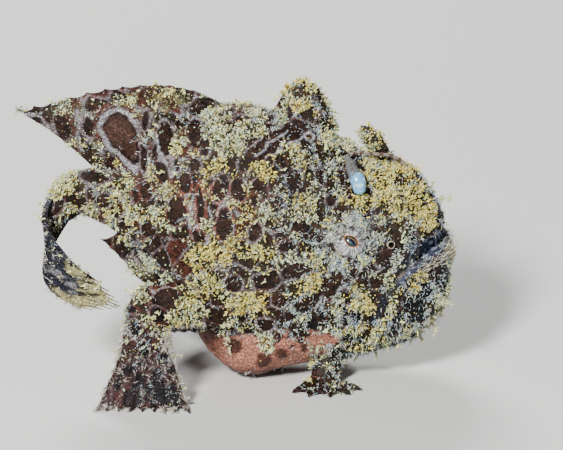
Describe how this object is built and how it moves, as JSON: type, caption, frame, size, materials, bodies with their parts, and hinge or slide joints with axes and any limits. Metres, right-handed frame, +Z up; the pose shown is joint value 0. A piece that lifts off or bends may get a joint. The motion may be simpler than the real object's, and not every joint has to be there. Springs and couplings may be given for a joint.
{
  "type": "frogfish",
  "caption": "Marbled frogfish standing on its fins, with a folded tail, a laid-back fishing rod with a pale bait, and skin covered in fine tassels.",
  "frame": {"origin": "middle of the bounding box, on the floor that the belly and the fins rest on", "axes": "+X towards the snout, +Y to the fish's left, +Z up"},
  "size_m": [0.0868, 0.0516, 0.0614],
  "materials": {
    "skin": "matte, rough, marbled dark red-brown and grey-lilac under a cream and yellow coat",
    "fin": "satin, thin skin over rays",
    "lure": "wet, slightly translucent",
    "eye": "glossy"
  },
  "bodies": {
    "root": {"head": "skin", "lower_jaw": "skin", "torso": "skin", "tail_base": "skin", "third_dorsal_spine": "skin", "second_dorsal_spine": "skin", "right_pectoral_arm": "skin", "left_pectoral_arm": "skin", "dorsal_fin": "fin", "anal_fin": "fin", "caudal_fin_base": "fin", "caudal_fin_tips": "fin", "right_pectoral_fin": "fin", "left_pectoral_fin": "fin", "right_pelvic_fin": "fin", "left_pelvic_fin": "fin", "lure_rod": "lure", "lure_bait": "lure", "right_eye": "eye", "left_eye": "eye"}
  },
  "joints": []
}
